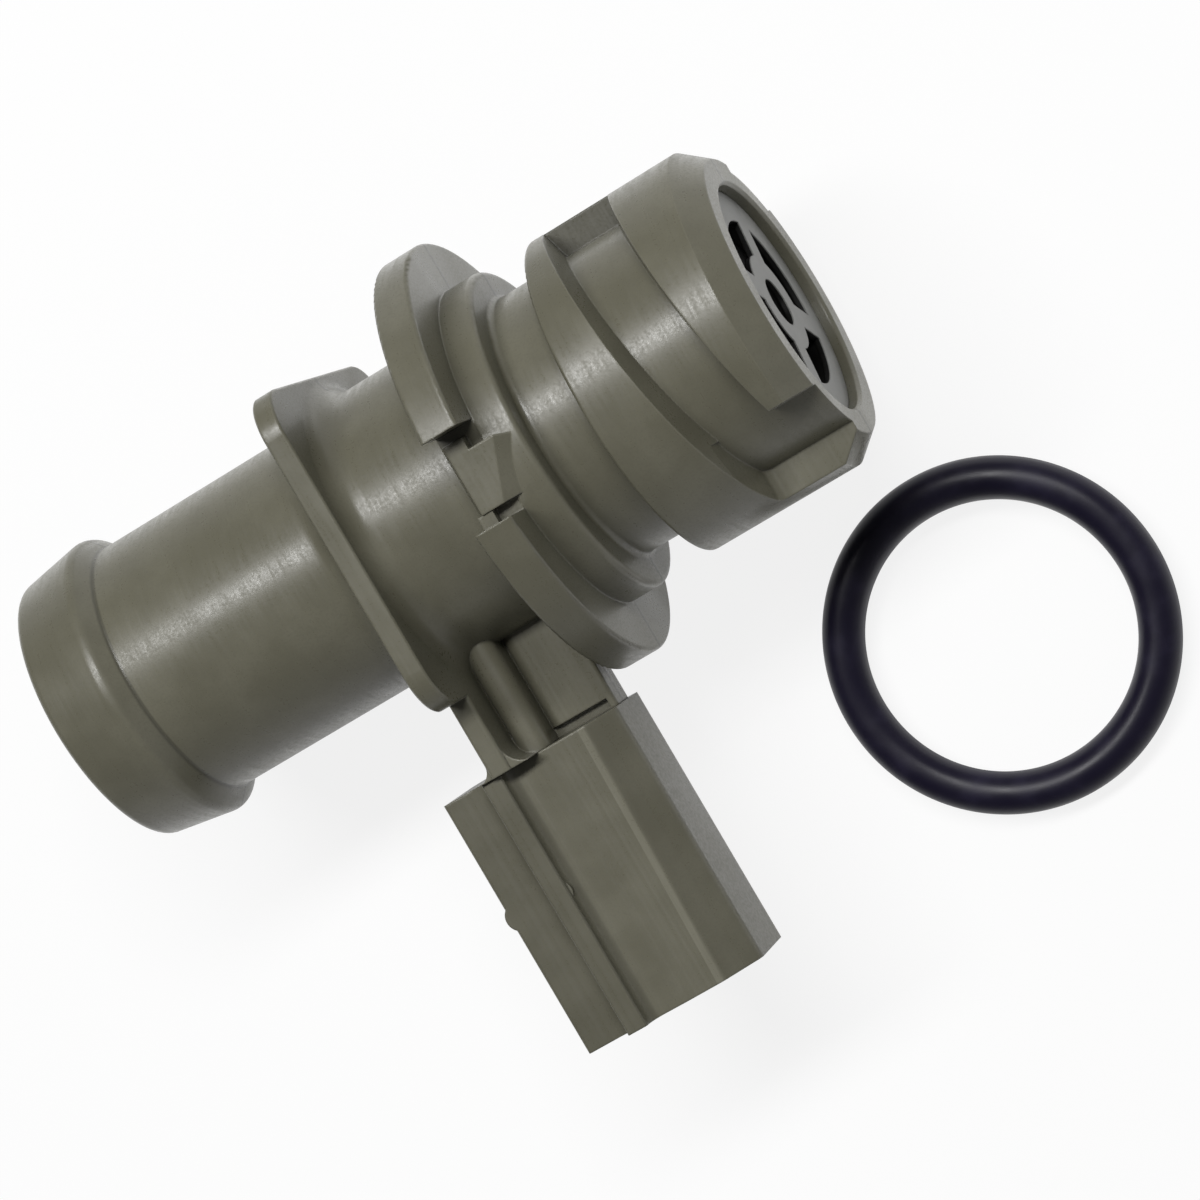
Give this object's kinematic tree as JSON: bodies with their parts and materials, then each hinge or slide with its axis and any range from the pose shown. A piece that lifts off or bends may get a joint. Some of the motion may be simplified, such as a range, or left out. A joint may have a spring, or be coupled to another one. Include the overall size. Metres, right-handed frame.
{
  "type": "pcv valve",
  "caption": "Crankcase ventilation valve with a twist-lock head, a barbed hose nipple, a sprung metering plunger and a wired socket; its seal ring lies beside it.",
  "frame": {"origin": "on the valve's axis, in the plane of the lock flange's face that meets the rim of the port", "axes": "+X runs along the valve's axis out through the twist-lock head, the hose nipple points to -X, the wired socket opens to -Y, and +Z is the side with the locking tooth"},
  "size_m": [0.0765, 0.0634, 0.0356],
  "materials": {
    "housing": "satin moulded glass-filled nylon, warm brown-grey",
    "disc": "satin moulded nylon, neutral grey",
    "plunger": "satin moulded acetal, black",
    "spring": "drawn stainless spring wire",
    "terminal": "stamped and tinned brass strip",
    "seal": "smooth moulded rubber, near black with a navy cast"
  },
  "bodies": {
    "housing": {"valve_body": "housing", "nipple_tube": "housing", "socket_shroud": "housing", "port_disc": "disc", "valve_seat": "disc", "plunger_spring": "spring", "jumper_terminal": "terminal", "o_ring": "seal"},
    "plunger": {"plunger": "plunger"}
  },
  "joints": [
    {"name": "plunger_slide", "type": "slide", "parent": "housing", "child": "plunger", "axis": [-1, 0, 0], "range_m": [0, 0.0055], "stiffness_N_per_m": 120, "springref_m": -0.004, "deforming": ["plunger_spring"]}
  ]
}
